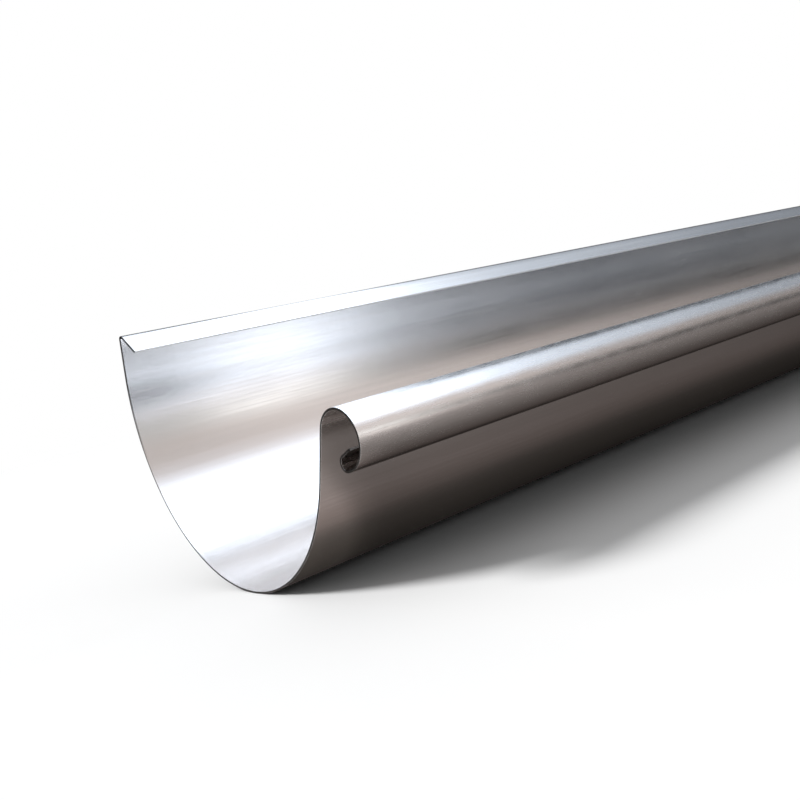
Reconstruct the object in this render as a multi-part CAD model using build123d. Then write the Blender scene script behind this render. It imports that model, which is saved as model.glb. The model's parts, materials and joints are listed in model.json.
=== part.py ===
from build123d import *
import math
import os

# Half-round gutter section with a rolled bead along its front edge, bent from one strip of bare sheet metal.
# Millimetres. The gutter runs along X, its bead faces -Y and its back wall +Y. The section is drawn with its
# mouth upwards and the centre of the trough at the origin. It is then rolled to the lean at which the loose
# piece lies still, and the origin ends on the floor, under the middle of the piece.

# Stock
LENGTH = 2000.0
SHEET = 0.7

# Trough, and the two flat walls that it runs out into. Both walls lean outwards from upright
TROUGH_BORE = 127.0
FRONT_WALL = 16.8
FRONT_LEAN = 4.0
BACK_WALL = 14.0
BACK_LEAN = 5.5

# Fold along the top of the back wall, turned in and down over the trough
FOLD_BEND = 1.0
FOLD_SLOPE = 17.0
FOLD_LEG = 11.0

# Bead rolled outwards along the top of the front wall, and the hook that its free edge is turned into
BEAD_DIAMETER = 18.0
BEAD_TURN = 244.0
HOOK_BEND = 1.9
HOOK_TURN = 158.0
HOOK_LEG = 4.2

UP = Vector(0, 1)


def bent_line(outwards):
    """Line of the whole bent strip, this far outwards of the middle of the sheet's thickness."""
    trough_turn = BACK_LEAN + FRONT_LEAN - 180
    trough = CenterArc((0, 0), TROUGH_BORE / 2 + SHEET / 2 + outwards, -BACK_LEAN, trough_turn)

    back_way = UP.rotate(Axis.Z, -BACK_LEAN)
    back_wall = Line(trough @ 0, trough @ 0 + back_way * BACK_WALL)
    fold_turn = 90 + BACK_LEAN + FOLD_SLOPE
    fold = JernArc(back_wall @ 1, back_way, FOLD_BEND + SHEET / 2 + outwards, fold_turn)
    fold_leg = Line(fold @ 1, fold @ 1 + (fold % 1) * FOLD_LEG)

    # The trough's outer face is the inner face of the bead and the hook
    front_way = UP.rotate(Axis.Z, FRONT_LEAN)
    front_wall = Line(trough @ 1, trough @ 1 + front_way * FRONT_WALL)
    bead = JernArc(front_wall @ 1, front_way, BEAD_DIAMETER / 2 - SHEET / 2 - outwards, BEAD_TURN)
    hook = JernArc(bead @ 1, bead % 1, HOOK_BEND + SHEET / 2 - outwards, HOOK_TURN)
    hook_leg = Line(hook @ 1, hook @ 1 + (hook % 1) * HOOK_LEG)
    return [fold_leg, fold, back_wall, trough, front_wall, bead, hook, hook_leg]


def sheet_section():
    """Cut end of the strip: both faces of the sheet, closed by its two square edges."""
    outer = bent_line(SHEET / 2)
    inner = bent_line(-SHEET / 2)
    fold_edge = Line(outer[0] @ 1, inner[0] @ 1)
    bead_edge = Line(outer[-1] @ 1, inner[-1] @ 1)
    return make_face(outer + inner + [fold_edge, bead_edge])


def resting_lean(section):
    """Roll about +X, in degrees, that hangs the gutter's weight straight under the trough's centre."""
    middle = section.center(CenterOf.MASS)
    return math.degrees(math.atan2(-middle.X, -middle.Y))


def gutter(section, lean):
    """The bent strip at its full length, rolled to rest and set on the floor."""
    strip = extrude(Plane.YZ * section, LENGTH).rotate(Axis.X, lean)
    box = strip.bounding_box()
    centre = box.center()
    return strip.moved(Location((-centre.X, -centre.Y, -box.min.Z)))


section = sheet_section()
lean = resting_lean(section)
print(f"strip width {Wire(bent_line(0)).length:.1f} mm, resting lean {lean:.2f} degrees")

os.makedirs("parts", exist_ok=True)
export_step(gutter(section, lean), "parts/gutter_profile.step")
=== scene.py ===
import json
import math

import bmesh
import bpy
from mathutils import Matrix, Vector


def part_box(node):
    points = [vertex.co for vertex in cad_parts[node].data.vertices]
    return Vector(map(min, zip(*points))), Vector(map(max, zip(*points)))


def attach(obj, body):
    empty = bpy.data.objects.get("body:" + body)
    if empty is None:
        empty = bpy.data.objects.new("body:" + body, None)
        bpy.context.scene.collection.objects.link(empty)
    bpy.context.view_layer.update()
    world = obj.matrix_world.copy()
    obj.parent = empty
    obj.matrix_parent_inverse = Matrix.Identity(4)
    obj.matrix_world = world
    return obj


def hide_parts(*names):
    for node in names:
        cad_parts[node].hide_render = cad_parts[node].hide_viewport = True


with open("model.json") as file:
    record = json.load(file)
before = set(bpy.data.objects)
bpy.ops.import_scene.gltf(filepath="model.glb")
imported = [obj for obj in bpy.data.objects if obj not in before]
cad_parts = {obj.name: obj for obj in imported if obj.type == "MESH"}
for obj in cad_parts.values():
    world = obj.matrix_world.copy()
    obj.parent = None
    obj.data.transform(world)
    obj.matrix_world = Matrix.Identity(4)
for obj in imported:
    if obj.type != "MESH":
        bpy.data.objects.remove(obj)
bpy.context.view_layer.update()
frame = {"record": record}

# Sizes in metres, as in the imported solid. The strip is drawn mouth up round the X axis, then rolled by the
# lean at which the loose gutter lies
MM = 0.001
SHEET = 0.7 * MM
TROUGH_RADIUS = 63.5 * MM + SHEET / 2
FRONT_WALL = 16.8 * MM
FRONT_LEAN = math.radians(4.0)
BACK_WALL = 14.0 * MM
BACK_LEAN = math.radians(5.5)
FOLD_RADIUS = 1.0 * MM + SHEET / 2
FOLD_SLOPE = math.radians(17.0)
FOLD_LEG = 11.0 * MM
BEAD_RADIUS = 9.0 * MM - SHEET / 2
BEAD_TURN = math.radians(244.0)
HOOK_RADIUS = 1.9 * MM + SHEET / 2
HOOK_TURN = math.radians(158.0)
HOOK_LEG = 4.2 * MM
RESTING_LEAN = math.radians(22.52)

# How finely the sheet is divided, round its bends and along its length
BEND_STEP = math.radians(3.0)
BEAD_STEP = math.radians(6.0)
TIGHT_BEND_STEP = math.radians(14.0)
BACK_WALL_PIECES = 3
FOLD_LEG_PIECES = 3
FRONT_WALL_PIECES = 4
HOOK_LEG_PIECES = 1
STATION = 20.0 * MM
END_STATIONS = [0.0, 2 * MM, 5 * MM, 9 * MM, 14 * MM]

# Cut edges
EDGE_ROUNDING = 0.09 * MM
EDGE_SEGMENTS = 2
EDGE_ANGLE = math.radians(60)

UP = Vector((0, 0, 1))
ALONG = Vector((1, 0, 0))

gutter_low, gutter_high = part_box("gutter_profile")
seat = next(mount for mount in frame["record"]["mounts"] if mount["name"] == "bracket_seat")
trough_centre = Vector((0, seat["pos_m"][1], seat["pos_m"][2] + TROUGH_RADIUS + SHEET / 2))


def turned(way, angle):
    """This direction turned about the gutter's length."""
    return Matrix.Rotation(angle, 3, "X") @ way


def new_object(name, bm):
    """Object with this shape for its mesh."""
    mesh = bpy.data.meshes.new(name)
    bm.to_mesh(mesh)
    bm.free()
    made = bpy.data.objects.new(name, mesh)
    bpy.context.scene.collection.objects.link(made)
    return made


# Shape of the sheet

class StripLine:
    """Draws the strip's middle line on from one vertex. Each vertex keeps its distance across the strip."""

    def __init__(self, bm, across, start, way, sense):
        self.bm = bm
        self.across = across
        self.tip = start
        self.way = way
        self.sense = sense
        self.distance = start[across]

    def _write_distances(self, verts, length):
        for number, vert in enumerate(verts, 1):
            vert[self.across] = self.distance + self.sense * length * number / len(verts)
        self.distance += self.sense * length

    def straight(self, length, pieces):
        added = []
        for _ in range(pieces):
            self.tip = bmesh.ops.extrude_vert_indiv(self.bm, verts=[self.tip])["verts"][0]
            self.tip.co += self.way * (length / pieces)
            added.append(self.tip)
        self._write_distances(added, length)

    def bend(self, radius, turn, step):
        pieces = max(2, round(abs(turn) / step))
        side = turned(self.way, math.copysign(math.pi / 2, turn))
        centre = self.tip.co + side * radius
        added = []
        for _ in range(pieces):
            spun = bmesh.ops.spin(
                self.bm, geom=[self.tip], cent=centre, axis=ALONG, angle=turn / pieces, steps=1
            )["geom_last"]
            self.tip = next(item for item in spun if isinstance(item, bmesh.types.BMVert))
            added.append(self.tip)
        self.way = turned(self.way, turn)
        self._write_distances(added, radius * abs(turn))


def draw_strip_line(bm, across):
    """Middle line of the bent strip, both ways from the place where the back wall leaves the trough."""
    springing = bm.verts.new(turned(Vector((0, TROUGH_RADIUS, 0)), -BACK_LEAN))
    springing[across] = 0.0

    back = StripLine(bm, across, springing, turned(UP, -BACK_LEAN), -1)
    back.straight(BACK_WALL, BACK_WALL_PIECES)
    back.bend(FOLD_RADIUS, math.pi / 2 + BACK_LEAN + FOLD_SLOPE, TIGHT_BEND_STEP)
    back.straight(FOLD_LEG, FOLD_LEG_PIECES)

    front = StripLine(bm, across, springing, turned(-UP, -BACK_LEAN), 1)
    front.bend(TROUGH_RADIUS, BACK_LEAN + FRONT_LEAN - math.pi, BEND_STEP)
    front.straight(FRONT_WALL, FRONT_WALL_PIECES)
    front.bend(BEAD_RADIUS, BEAD_TURN, BEAD_STEP)
    front.bend(HOOK_RADIUS, HOOK_TURN, TIGHT_BEND_STEP)
    front.straight(HOOK_LEG, HOOK_LEG_PIECES)


def stations(length):
    """Distances of the cross sections from the near end, closer together at both ends."""
    inner = END_STATIONS[-1]
    count = round((length - 2 * inner) / STATION)
    middle = [inner + (length - 2 * inner) * number / count for number in range(1, count)]
    return END_STATIONS + middle + [length - place for place in reversed(END_STATIONS)]


def pull_along(bm, places):
    """Pulls the middle line out along the gutter, section by section."""
    line = list(bm.edges)
    for near, far in zip(places, places[1:]):
        drawn = bmesh.ops.extrude_edge_only(bm, edges=line)["geom"]
        verts = [item for item in drawn if isinstance(item, bmesh.types.BMVert)]
        line = [item for item in drawn if isinstance(item, bmesh.types.BMEdge)]
        bmesh.ops.translate(bm, verts=verts, vec=ALONG * (far - near))


def map_strip(bm, across):
    """UV map of the flat strip, in metres across it and along it."""
    strip = bm.loops.layers.uv.new("strip")
    for face in bm.faces:
        face.smooth = True
        for loop in face.loops:
            loop[strip].uv = (loop.vert[across], loop.vert.co.x)


def give_thickness(sheet):
    """The sheet's thickness, half to each side of the drawn line, and its slightly rounded cut edges."""
    shell = sheet.modifiers.new("thickness", "SOLIDIFY")
    shell.thickness = SHEET
    shell.offset = 0.0
    shell.use_even_offset = True
    shell.material_offset_rim = 1
    rounding = sheet.modifiers.new("cut_edges", "BEVEL")
    rounding.width = EDGE_ROUNDING
    rounding.segments = EDGE_SEGMENTS
    rounding.limit_method = "ANGLE"
    rounding.angle_limit = EDGE_ANGLE
    rounding.harden_normals = True


def make_gutter():
    """The whole gutter section, drawn mouth up, then rolled and set down where the solid lies."""
    bm = bmesh.new()
    across = bm.verts.layers.float.new("across")
    draw_strip_line(bm, across)
    bmesh.ops.translate(bm, verts=bm.verts, vec=ALONG * gutter_low.x)
    pull_along(bm, stations(gutter_high.x - gutter_low.x))
    bmesh.ops.recalc_face_normals(bm, faces=bm.faces)
    map_strip(bm, across)
    roll = Matrix.Rotation(RESTING_LEAN, 3, "X")
    bmesh.ops.rotate(bm, verts=bm.verts, cent=(0, 0, 0), matrix=roll)
    bmesh.ops.translate(bm, verts=bm.verts, vec=trough_centre)

    sheet = new_object("gutter_sheet", bm)
    give_thickness(sheet)
    sheet.data.materials.append(bare_metal())
    sheet.data.materials.append(cut_edge())
    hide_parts("gutter_profile")
    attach(sheet, "root")


# Nodes that several materials use

def feed(tree, value, socket):
    """Sets a socket to a plain value, or links another node's output to it."""
    if isinstance(value, bpy.types.NodeSocket):
        tree.links.new(value, socket)
    else:
        socket.default_value = value


def calculate(tree, operation, *values):
    """Result of a Math node."""
    node = tree.nodes.new("ShaderNodeMath")
    node.operation = operation
    for value, socket in zip(values, node.inputs):
        feed(tree, value, socket)
    return node.outputs["Value"]


def total(tree, values):
    """Sum of several outputs."""
    result = values[0]
    for value in values[1:]:
        result = calculate(tree, "ADD", result, value)
    return result


def remap(tree, value, source, target=(0.0, 1.0), smooth=False):
    """Takes the source range to the target range, and holds it there at both ends."""
    node = tree.nodes.new("ShaderNodeMapRange")
    node.interpolation_type = "SMOOTHSTEP" if smooth else "LINEAR"
    feed(tree, value, node.inputs["Value"])
    node.inputs["From Min"].default_value = source[0]
    node.inputs["From Max"].default_value = source[1]
    node.inputs["To Min"].default_value = target[0]
    node.inputs["To Max"].default_value = target[1]
    return node.outputs["Result"]


def mix_colours(tree, share, first, second, blend="MIX"):
    """First colour where the share is nought, second where it is one."""
    node = tree.nodes.new("ShaderNodeMix")
    node.data_type = "RGBA"
    node.blend_type = blend
    colour_inputs = [socket for socket in node.inputs if socket.type == "RGBA"]
    feed(tree, share, node.inputs["Factor"])
    feed(tree, first, colour_inputs[0])
    feed(tree, second, colour_inputs[1])
    return next(socket for socket in node.outputs if socket.type == "RGBA")


def colour_ramp(tree, value, reach, stops):
    """Colour by distance: the stops are pairs of a distance inside the reach and a colour."""
    node = tree.nodes.new("ShaderNodeValToRGB")
    steps = node.color_ramp.elements
    while len(steps) < len(stops):
        steps.new(0.5)
    for step, (distance, colour) in zip(steps, stops):
        step.position = (distance - reach[0]) / (reach[1] - reach[0])
        step.color = (*colour, 1)
    feed(tree, remap(tree, value, reach), node.inputs["Fac"])
    return node.outputs["Color"]


def object_place(tree):
    """Place in the object's own coordinates, whole and split."""
    coordinates = tree.nodes.new("ShaderNodeTexCoord")
    split = tree.nodes.new("ShaderNodeSeparateXYZ")
    tree.links.new(coordinates.outputs["Object"], split.inputs["Vector"])
    return coordinates.outputs["Object"], split.outputs


def noise(tree, place, scale, detail=2.0, turn=0.0, shift=0.0, flat=True):
    """Noise with so many blotches per metre along each axis. The shift moves one pattern off another."""
    mapping = tree.nodes.new("ShaderNodeMapping")
    mapping.inputs["Scale"].default_value = scale
    mapping.inputs["Rotation"].default_value = (0, 0, turn)
    mapping.inputs["Location"].default_value = (shift, 2 * shift, 0)
    tree.links.new(place, mapping.inputs["Vector"])
    texture = tree.nodes.new("ShaderNodeTexNoise")
    texture.noise_dimensions = "2D" if flat else "3D"
    texture.inputs["Scale"].default_value = 1.0
    texture.inputs["Detail"].default_value = detail
    tree.links.new(mapping.outputs["Vector"], texture.inputs["Vector"])
    return texture.outputs["Fac"]


def bump(tree, height, shader):
    """Makes a height in metres stand up from the surface."""
    node = tree.nodes.new("ShaderNodeBump")
    node.inputs["Distance"].default_value = 1.0
    tree.links.new(height, node.inputs["Height"])
    tree.links.new(node.outputs["Normal"], shader.inputs["Normal"])


def new_material(name):
    """Material with nodes, and its node tree."""
    material = bpy.data.materials.new(name)
    material.use_nodes = True
    return material, material.node_tree


# Finish of the sheet, and its painted shade. Its patterns are laid out on the flat strip, so they run with
# the rolling direction
CLEAN_METAL = (0.92, 0.91, 0.905, 1)
DULL_METAL = (0.81, 0.79, 0.775, 1)
# Painted shade under the bead and inside its hook
UNDERSIDE_PAINTED_SHADE = (0.3, 0.275, 0.265, 1)
HOOK_PAINTED_SHADE = (0.6, 0.57, 0.55, 1)
# Colour of the cut edges, also used as painted shade along the fold's bend
EDGE_METAL_AND_FOLD_SHADE = (0.1, 0.09, 0.085, 1)
EDGE_STAIN = (0.04, 0.035, 0.03, 1)
SLIT_METAL = (0.7, 0.69, 0.68, 1)

# Grain runs along the strip and draws the highlights out across it
SHEEN_PULL = 0.55
SHEEN_ROUGHNESS = 0.205
GRAIN_ROUGHENING = (SHEEN_ROUGHNESS - 0.04, SHEEN_ROUGHNESS + 0.04)
CLOUD_ROUGHENING = (-0.02, 0.03)
BEAD_ROUGHENING = (0.02, 0.08)
SCRATCH_ROUGHENING = 0.02

# Share of dull metal that each pattern gives
GRAIN_DULLING = (0.0, 0.5)
MARK_DULLING = (0.0, 0.35)
CLOUD_DULLING = (0.0, 0.4)
SCRATCH_DULLING = 0.25

# Where the bead, its underside with painted shade and its hook with painted shade begin across the strip
BEAD_START = (0.203, 0.210)
UNDERSIDE_START = (0.2325, 0.2405)
HOOK_START = (0.2436, 0.2455)

# Dark lines: painted shade along the outside of the fold's bend, and a dark line beside each cut end of the
# back wall
FOLD_LIP_SIDE = (-0.0172, -0.0163)
FOLD_WALL_SIDE = (-0.0143, -0.0148)
CUT_SIDE = (0.99945, 0.99975)
BACK_WALL_END = (0.035, 0.005)

# Blotches per metre across the strip and along it
FINE_GRAIN = (1500, 14, 1)
ROLL_MARKS = (170, 3, 1)
CLOUDS = (30, 12, 1)
WAVES = (14, 5, 1)
MOTTLE = (400, 130, 1)
SCRATCHES = (800, 16, 1)
SCRATCH_TURNS = (0, 4, -9)
SCRATCH_SHIFT = 3.7

# Parts of the noises' range that are put to use. Scratches are the rare peaks
GRAIN_SPAN = (0.25, 0.75)
WIDE_GRAIN_SPAN = (0.2, 0.8)
CLOUD_SPAN = (0.4, 0.8)
SCRATCH_SPAN = (0.745, 0.79)
MIDDLE_SPAN = (0.3, 0.7)

# Heights in metres
GRAIN_HEIGHT = 0.0000035
MARK_HEIGHT = 0.00003
WAVE_HEIGHT = 0.00018
MOTTLE_HEIGHT = 0.000024

# Cut edge: blotches per metre, and the tears of the shears
STAIN_BLOTCHES = (90, 90, 90)
STAIN_SPAN = (0.35, 0.65)
TEAR_BLOTCHES = (2500, 2500, 2500)
TEAR_ROUGHNESS = (0.42, 0.62)
TEAR_HEIGHT = 0.00003


def scratches(tree, place):
    """Few thin lines, along the strip and a little aslant."""
    lines = []
    for number, turn in enumerate(SCRATCH_TURNS):
        streaks = noise(tree, place, SCRATCHES, 1.0, math.radians(turn), SCRATCH_SHIFT * number)
        lines.append(remap(tree, streaks, SCRATCH_SPAN))
    return calculate(tree, "MINIMUM", total(tree, lines), 1.0)


def sheet_colour(tree, across, grain, marks, clouds, lines):
    """Clean metal, duller by its patterns, with painted shade under the bead and inside its hook."""
    dull = total(tree, [
        remap(tree, grain, GRAIN_SPAN, GRAIN_DULLING),
        remap(tree, marks, MIDDLE_SPAN, MARK_DULLING),
        remap(tree, clouds, CLOUD_SPAN, CLOUD_DULLING),
        calculate(tree, "MULTIPLY", lines, SCRATCH_DULLING),
    ])
    colour = mix_colours(tree, calculate(tree, "MINIMUM", dull, 1.0), CLEAN_METAL, DULL_METAL)
    # Painted shade under the bead and inside its hook
    under_bead_shade = remap(tree, across, UNDERSIDE_START, smooth=True)
    colour = mix_colours(tree, under_bead_shade, colour, UNDERSIDE_PAINTED_SHADE)
    return mix_colours(tree, remap(tree, across, HOOK_START), colour, HOOK_PAINTED_SHADE)


def fold_shade_and_cut_lines(tree, across, along):
    """Painted shade on the fold's bend, and a dark line beside the back wall's cuts, nought elsewhere."""
    past_lip = remap(tree, across, FOLD_LIP_SIDE)
    past_wall = remap(tree, across, FOLD_WALL_SIDE)
    in_fold = calculate(tree, "MINIMUM", past_lip, past_wall)
    at_cut = remap(tree, calculate(tree, "ABSOLUTE", along), CUT_SIDE)
    at_cut = calculate(tree, "MINIMUM", at_cut, remap(tree, across, BACK_WALL_END))
    return calculate(tree, "MAXIMUM", in_fold, at_cut)


def bare_metal():
    """Mill finish: lengthwise grain and roll marks, cloudy dull patches, scratches, and a mottled bead."""
    material, tree = new_material("bare_metal")
    shader = tree.nodes["Principled BSDF"]
    strip = tree.nodes.new("ShaderNodeUVMap")
    strip.uv_map = "strip"
    place = strip.outputs["UV"]
    split = tree.nodes.new("ShaderNodeSeparateXYZ")
    tree.links.new(place, split.inputs["Vector"])
    across = split.outputs["X"]
    along = split.outputs["Y"]
    on_bead = remap(tree, across, BEAD_START, smooth=True)

    grain = noise(tree, place, FINE_GRAIN, detail=3.0)
    marks = noise(tree, place, ROLL_MARKS, detail=3.0, shift=5.0)
    clouds = noise(tree, place, CLOUDS, detail=3.0, shift=9.0)
    waves = noise(tree, place, WAVES, detail=1.0, shift=2.0)
    mottle = noise(tree, place, MOTTLE, detail=2.0, shift=4.0)
    lines = scratches(tree, place)

    colour = sheet_colour(tree, across, grain, marks, clouds, lines)
    # Painted shade along the fold's bend, and dark lines beside the back wall's cuts
    colour = mix_colours(tree, fold_shade_and_cut_lines(tree, across, along), colour, EDGE_METAL_AND_FOLD_SHADE)
    tree.links.new(colour, shader.inputs["Base Color"])

    mottled = remap(tree, mottle, MIDDLE_SPAN, BEAD_ROUGHENING)
    roughness = total(tree, [
        remap(tree, grain, WIDE_GRAIN_SPAN, GRAIN_ROUGHENING),
        remap(tree, clouds, MIDDLE_SPAN, CLOUD_ROUGHENING),
        calculate(tree, "MULTIPLY", lines, SCRATCH_ROUGHENING),
        calculate(tree, "MULTIPLY", on_bead, mottled),
    ])
    tree.links.new(roughness, shader.inputs["Roughness"])

    height = total(tree, [
        calculate(tree, "MULTIPLY", grain, GRAIN_HEIGHT),
        calculate(tree, "MULTIPLY", marks, MARK_HEIGHT),
        calculate(tree, "MULTIPLY", waves, WAVE_HEIGHT),
        calculate(tree, "MULTIPLY", calculate(tree, "MULTIPLY", mottle, on_bead), MOTTLE_HEIGHT),
    ])
    bump(tree, height, shader)

    tangent = tree.nodes.new("ShaderNodeTangent")
    tangent.direction_type = "UV_MAP"
    tangent.uv_map = "strip"
    tree.links.new(tangent.outputs["Tangent"], shader.inputs["Tangent"])
    shader.inputs["Metallic"].default_value = 1.0
    shader.inputs["Anisotropic"].default_value = SHEEN_PULL
    return material


def cut_edge():
    """Cut edge, rougher than the faces, with fine tear marks. It is dark at the two ends, with darker
    blotches there, and light along the long sides.
    """
    material, tree = new_material("cut_edge")
    shader = tree.nodes["Principled BSDF"]
    place, split = object_place(tree)
    stains = noise(tree, place, STAIN_BLOTCHES, detail=3.0, flat=False)
    tears = noise(tree, place, TEAR_BLOTCHES, detail=2.0, flat=False)
    colour = mix_colours(tree, remap(tree, stains, STAIN_SPAN), EDGE_METAL_AND_FOLD_SHADE, EDGE_STAIN)
    at_end = remap(tree, calculate(tree, "ABSOLUTE", split["X"]), CUT_SIDE)
    colour = mix_colours(tree, at_end, SLIT_METAL, colour)
    tree.links.new(colour, shader.inputs["Base Color"])
    tree.links.new(remap(tree, tears, MIDDLE_SPAN, TEAR_ROUGHNESS), shader.inputs["Roughness"])
    bump(tree, calculate(tree, "MULTIPLY", tears, TEAR_HEIGHT), shader)
    shader.inputs["Metallic"].default_value = 1.0
    return material


# Camera, given for the gutter lying mouth up, from the centre of the trough at the near end
CAMERA_PLACE = Vector((-124.8, -243.5, 101.8)) * MM
CAMERA_YAW = math.radians(40.6)
CAMERA_PITCH = math.radians(20.52)
LENS = 39.12
SENSOR = 36.0
SEEN_FROM = 0.01
SEEN_TO = 100.0


def add_camera():
    """The photograph's view. It is rolled as the gutter is, so the picture shows the gutter mouth up."""
    data = bpy.data.cameras.new("camera")
    data.lens = LENS
    data.sensor_width = SENSOR
    data.clip_start = SEEN_FROM
    data.clip_end = SEEN_TO
    camera = bpy.data.objects.new("camera", data)
    near_end = Matrix.Translation(trough_centre + ALONG * gutter_low.x)
    lean = Matrix.Rotation(RESTING_LEAN, 4, "X")
    yaw = Matrix.Rotation(-CAMERA_YAW, 4, "Z")
    pitch = Matrix.Rotation(math.pi / 2 - CAMERA_PITCH, 4, "X")
    camera.matrix_world = near_end @ lean @ Matrix.Translation(CAMERA_PLACE) @ yaw @ pitch
    bpy.context.scene.collection.objects.link(camera)
    bpy.context.scene.camera = camera


# Stage. The floor and the world are white, and the lamp makes the floor's shadow. Three reflectors that only
# the metal sees give it its bands: an arch over the gutter, and two level ones just over the floor, in front
# of it and behind it
FLOOR_HALF = 12.0
FLOOR_PAINT = (0.85, 0.85, 0.85, 1)
FLOOR_ROUGHNESS = 0.8
FLOOR_SHINE = 0.1
PAINT_TO_WHITE = (1.3, 3.5)
FILL = 0.5
KEY_FROM = Vector((-2.8, 2.3, 3.2))
KEY_WIDTH = math.radians(19)
KEY_STRENGTH = 3.3
BLACK = (0, 0, 0, 1)
UNTINTED = (1.0, 1.0, 1.0)

# The arch, and the angles round the gutter at which one part of it goes over into the next. They count from
# level behind the gutter, over the top, to level in front of it
ARCH_RADIUS = 2.6
ARCH_HALF = 8.0
ARCH_STEPS = 36
HORIZON_RISE = (math.radians(18), math.radians(44))
HORIZON_LEVEL = 0.4
BEHIND_TO_ABOVE = (math.radians(59), math.radians(76))
ABOVE_TO_FRONT = (math.radians(120), math.radians(144))
FRONT_TO_LOW = (math.radians(160), math.radians(172))
SKY_TINT = (0.90, 0.99, 1.12)
FRONT_TINT = (1.09, 0.97, 0.92)
FRONT_LOW_TINT = (1.02, 1.0, 0.98)

# Brightness of each part at distances from the arch's middle, the same both ways
BEHIND = [
    (0.0, 0.1), (0.3, 0.25), (0.46, 2.0), (0.78, 2.6),
    (1.1, 0.32), (1.8, 0.12), (2.6, 0.08), (5.5, 0.06),
]
ABOVE = [
    (0.0, 2.4), (0.7, 2.6), (1.2, 1.35), (1.8, 0.78),
    (2.6, 0.62), (3.6, 0.38), (5.0, 0.28),
]
FRONT = [
    (0.0, 0.48), (0.15, 0.48), (0.7, 0.66), (1.2, 0.6),
    (1.8, 0.45), (2.6, 0.38), (4.0, 0.22), (6.0, 0.15),
]
FRONT_LOW = [
    (0.0, 0.45), (0.15, 0.5), (0.3, 0.65), (0.47, 1.4), (0.72, 1.4),
    (0.95, 0.55), (1.15, 0.3), (1.8, 0.1), (2.6, 0.05), (6.0, 0.05),
]

# Level reflectors, and the colours of the front one, from well in front of the gutter to right under it.
# They darken towards the gutter as a painted shadow of the gutter on the floor
REFLECTOR_HEIGHT = 0.6 * MM
LOW_REACH = (-0.6, -0.004)
LOW_COLOURS = [
    (-0.6, (0.46, 0.41, 0.39)),
    (-0.18, (0.32, 0.285, 0.275)),
    (-0.13, (0.235, 0.21, 0.2)),
    (-0.1, (0.175, 0.155, 0.147)),
    (-0.075, (0.14, 0.122, 0.115)),
    (-0.051, (0.135, 0.112, 0.105)),
    (-0.046, (0.118, 0.097, 0.09)),
    (-0.04, (0.088, 0.072, 0.066)),
    (-0.034, (0.043, 0.037, 0.034)),
    (-0.027, (0.03, 0.026, 0.023)),
    (-0.018, (0.021, 0.018, 0.016)),
    (-0.004, (0.01, 0.0085, 0.008)),
]

# Close to the gutter its brightness goes by the place along it, and rises at the near end as painted light
# on the floor by the open end. Further out it
# # goes by the slant from the near end: metres along for each metre out in front
LOW_ALONG = (-1.0, 1.0)
LOW_NEAR = [
    (-1.0, 2.9), (-0.985, 2.2), (-0.979, 2.4), (-0.969, 1.2), (-0.96, 0.9),
    (-0.93, 0.95), (-0.83, 0.8), (-0.6, 0.58), (-0.3, 0.8), (1.0, 0.9),
]
LOW_SLANTS = (0.0, 3.0)
SLANT_FROM = -0.95
LOW_FAR = [
    (0.0, 1.0), (0.3, 1.1), (0.41, 1.1), (0.48, 1.5), (0.55, 2.7), (0.65, 2.7), (0.72, 1.4),
    (0.8, 0.95), (0.89, 0.67), (1.0, 0.48), (1.16, 0.32), (1.7, 0.24), (3.0, 0.2),
]
NEAR_TO_FAR = (-0.25, -0.45)

# Colours of the rear one, from close by the gutter outwards, darker close by as a painted shadow of the
# gutter on the floor
REAR_REACH = (0.03, 1.0)
REAR_COLOURS = [
    (0.03, (0.1, 0.095, 0.09)),
    (0.1, (0.25, 0.24, 0.235)),
    (0.35, (0.42, 0.41, 0.405)),
    (1.0, (0.55, 0.55, 0.55)),
]


def tinted(levels, tint):
    """Stops of one tint from stops of brightness."""
    return [(distance, tuple(level * part for part in tint)) for distance, level in levels]


def seen_rays(tree):
    """One for the rays of the camera and of reflections and glass, nought for all others."""
    path = tree.nodes.new("ShaderNodeLightPath")
    direct = calculate(tree, "MAXIMUM", path.outputs["Is Camera Ray"], path.outputs["Is Glossy Ray"])
    return calculate(tree, "MAXIMUM", direct, path.outputs["Is Transmission Ray"])


def arch_colour(tree):
    """Bands along the arch, the same both ways from its middle, blended by the angle round the gutter."""
    _, place = object_place(tree)
    distance = calculate(tree, "ABSOLUTE", place["X"])
    reach = (0.0, ARCH_HALF)
    behind = colour_ramp(tree, distance, reach, tinted(BEHIND, SKY_TINT))
    above = colour_ramp(tree, distance, reach, tinted(ABOVE, SKY_TINT))
    front = colour_ramp(tree, distance, reach, tinted(FRONT, FRONT_TINT))
    low = colour_ramp(tree, distance, reach, tinted(FRONT_LOW, FRONT_LOW_TINT))
    angle = calculate(tree, "ARCTAN2", place["Z"], place["Y"])
    rise = remap(tree, angle, HORIZON_RISE, (HORIZON_LEVEL, 1.0), smooth=True)
    behind = mix_colours(tree, rise, BLACK, behind)
    behind = mix_colours(tree, remap(tree, angle, BEHIND_TO_ABOVE, smooth=True), behind, above)
    front = mix_colours(tree, remap(tree, angle, FRONT_TO_LOW, smooth=True), front, low)
    return mix_colours(tree, remap(tree, angle, ABOVE_TO_FRONT, smooth=True), behind, front)


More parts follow.
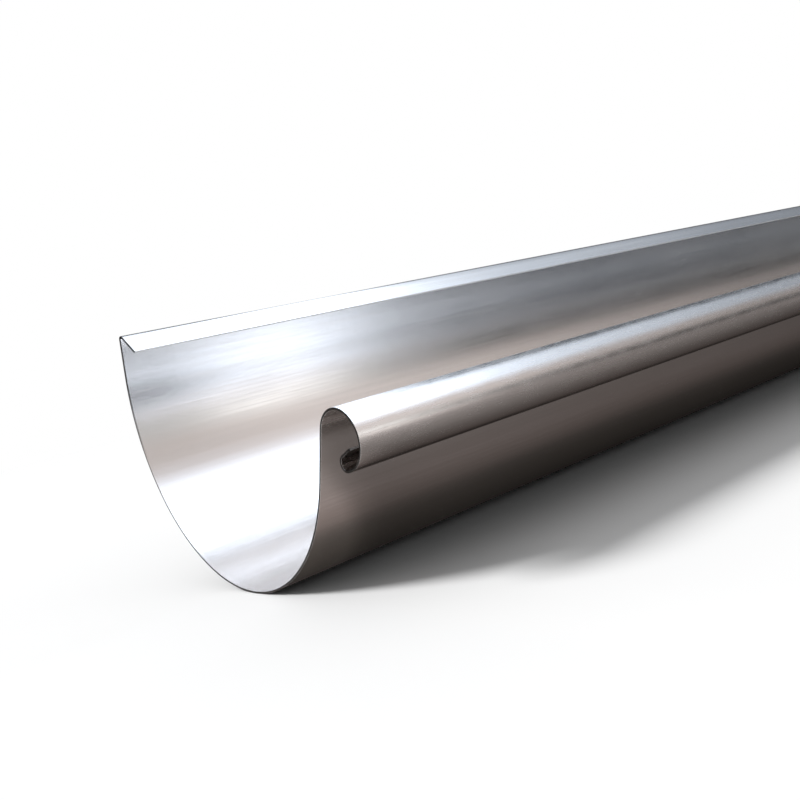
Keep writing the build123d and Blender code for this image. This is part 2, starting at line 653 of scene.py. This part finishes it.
def low_colour(tree):
    """Brown, darker towards the gutter as a painted shadow of it on the floor, with one brightness close by
    it and another further out.
    """
    _, place = object_place(tree)
    colour = colour_ramp(tree, place["Y"], LOW_REACH, LOW_COLOURS)
    near = colour_ramp(tree, place["X"], LOW_ALONG, tinted(LOW_NEAR, UNTINTED))
    along = calculate(tree, "SUBTRACT", place["X"], SLANT_FROM)
    slant = calculate(tree, "DIVIDE", along, calculate(tree, "MULTIPLY", place["Y"], -1.0))
    far = colour_ramp(tree, slant, LOW_SLANTS, tinted(LOW_FAR, UNTINTED))
    level = mix_colours(tree, remap(tree, place["Y"], NEAR_TO_FAR), near, far)
    return mix_colours(tree, 1.0, colour, level, "MULTIPLY")


def rear_colour(tree):
    """Grey, darker towards the gutter as a painted shadow of it on the floor."""
    _, place = object_place(tree)
    return colour_ramp(tree, place["Y"], REAR_REACH, REAR_COLOURS)


def add_reflector(name, bm, colour_of):
    """Glowing sheet that is seen in reflections only, and lights nothing else."""
    reflector = new_object(name, bm)
    reflector.visible_camera = False
    reflector.visible_diffuse = False
    reflector.visible_shadow = False
    material, tree = new_material(name)
    tree.nodes.clear()
    glow = tree.nodes.new("ShaderNodeEmission")
    tree.links.new(colour_of(tree), glow.inputs["Color"])
    output = tree.nodes.new("ShaderNodeOutputMaterial")
    tree.links.new(glow.outputs["Emission"], output.inputs["Surface"])
    reflector.data.materials.append(material)


def add_arch():
    """Half of a wide pipe, from level behind the gutter to level in front of it, closed at both ends."""
    bm = bmesh.new()
    ends = [bm.verts.new((x, ARCH_RADIUS, 0)) for x in (-ARCH_HALF, ARCH_HALF)]
    foot = bm.edges.new(ends)
    bmesh.ops.spin(bm, geom=[foot, *ends], cent=(0, 0, 0), axis=ALONG, angle=math.pi, steps=ARCH_STEPS)
    open_rims = [edge for edge in bm.edges if edge.is_boundary]
    bmesh.ops.edgeloop_fill(bm, edges=open_rims)
    add_reflector("light_arch", bm, arch_colour)


def add_level_reflector(name, start, sides, colour_of):
    """Level reflector just over the floor, from a place in X to the end of the arch, between two sides."""
    low, high = sides
    bm = bmesh.new()
    corners = [(start, low), (ARCH_HALF, low), (ARCH_HALF, high), (start, high)]
    bm.faces.new([bm.verts.new((x, y, REFLECTOR_HEIGHT)) for x, y in corners])
    add_reflector(name, bm, colour_of)


def add_key():
    """Soft lamp, high behind the gutter's near end. The metal shows the reflectors instead of it."""
    data = bpy.data.lights.new("key", "SUN")
    data.angle = KEY_WIDTH
    data.energy = KEY_STRENGTH
    key = bpy.data.objects.new("key", data)
    aim = (-KEY_FROM).to_track_quat("-Z", "Y").to_matrix().to_4x4()
    key.matrix_world = Matrix.Translation(KEY_FROM) @ aim
    key.visible_glossy = False
    bpy.context.scene.collection.objects.link(key)


def add_world():
    """White to the camera and in reflections, and a weaker fill on everything else."""
    world = bpy.data.worlds.new("studio")
    bpy.context.scene.world = world
    world.use_nodes = True
    tree = world.node_tree
    sky = tree.nodes["Background"]
    sky.inputs["Color"].default_value = (1, 1, 1, 1)
    strength = remap(tree, seen_rays(tree), (0.0, 1.0), (FILL, 1.0))
    tree.links.new(strength, sky.inputs["Strength"])


def floor_white():
    """Pale paint that keeps the shadow, going over to plain white well away from the gutter."""
    material, tree = new_material("floor")
    paint = tree.nodes["Principled BSDF"]
    paint.inputs["Base Color"].default_value = FLOOR_PAINT
    paint.inputs["Roughness"].default_value = FLOOR_ROUGHNESS
    paint.inputs["Specular IOR Level"].default_value = FLOOR_SHINE
    place, _ = object_place(tree)
    reach = tree.nodes.new("ShaderNodeVectorMath")
    reach.operation = "LENGTH"
    tree.links.new(place, reach.inputs[0])
    far = remap(tree, reach.outputs["Value"], PAINT_TO_WHITE, smooth=True)
    white = tree.nodes.new("ShaderNodeEmission")
    mix = tree.nodes.new("ShaderNodeMixShader")
    tree.links.new(calculate(tree, "MULTIPLY", seen_rays(tree), far), mix.inputs["Fac"])
    tree.links.new(paint.outputs["BSDF"], mix.inputs[1])
    tree.links.new(white.outputs["Emission"], mix.inputs[2])
    tree.links.new(mix.outputs["Shader"], tree.nodes["Material Output"].inputs["Surface"])
    return material


def add_floor():
    """Wide level floor."""
    bm = bmesh.new()
    bmesh.ops.create_grid(bm, x_segments=1, y_segments=1, size=FLOOR_HALF)
    floor = new_object("floor", bm)
    floor.data.materials.append(floor_white())


make_gutter()
add_camera()
add_floor()
add_arch()
add_level_reflector("low_reflector", gutter_low.x, (-ARCH_RADIUS, LOW_REACH[1]), low_colour)
add_level_reflector("rear_reflector", -ARCH_HALF, (REAR_REACH[0], ARCH_RADIUS), rear_colour)
add_key()
add_world()

# The trough needs many reflections, and light thrown on the floor by the metal is left out
GLOSSY_BOUNCES = 12
scene = bpy.context.scene
scene.view_settings.view_transform = "Standard"
scene.cycles.glossy_bounces = GLOSSY_BOUNCES
scene.cycles.caustics_reflective = False

bpy.context.view_layer.update()
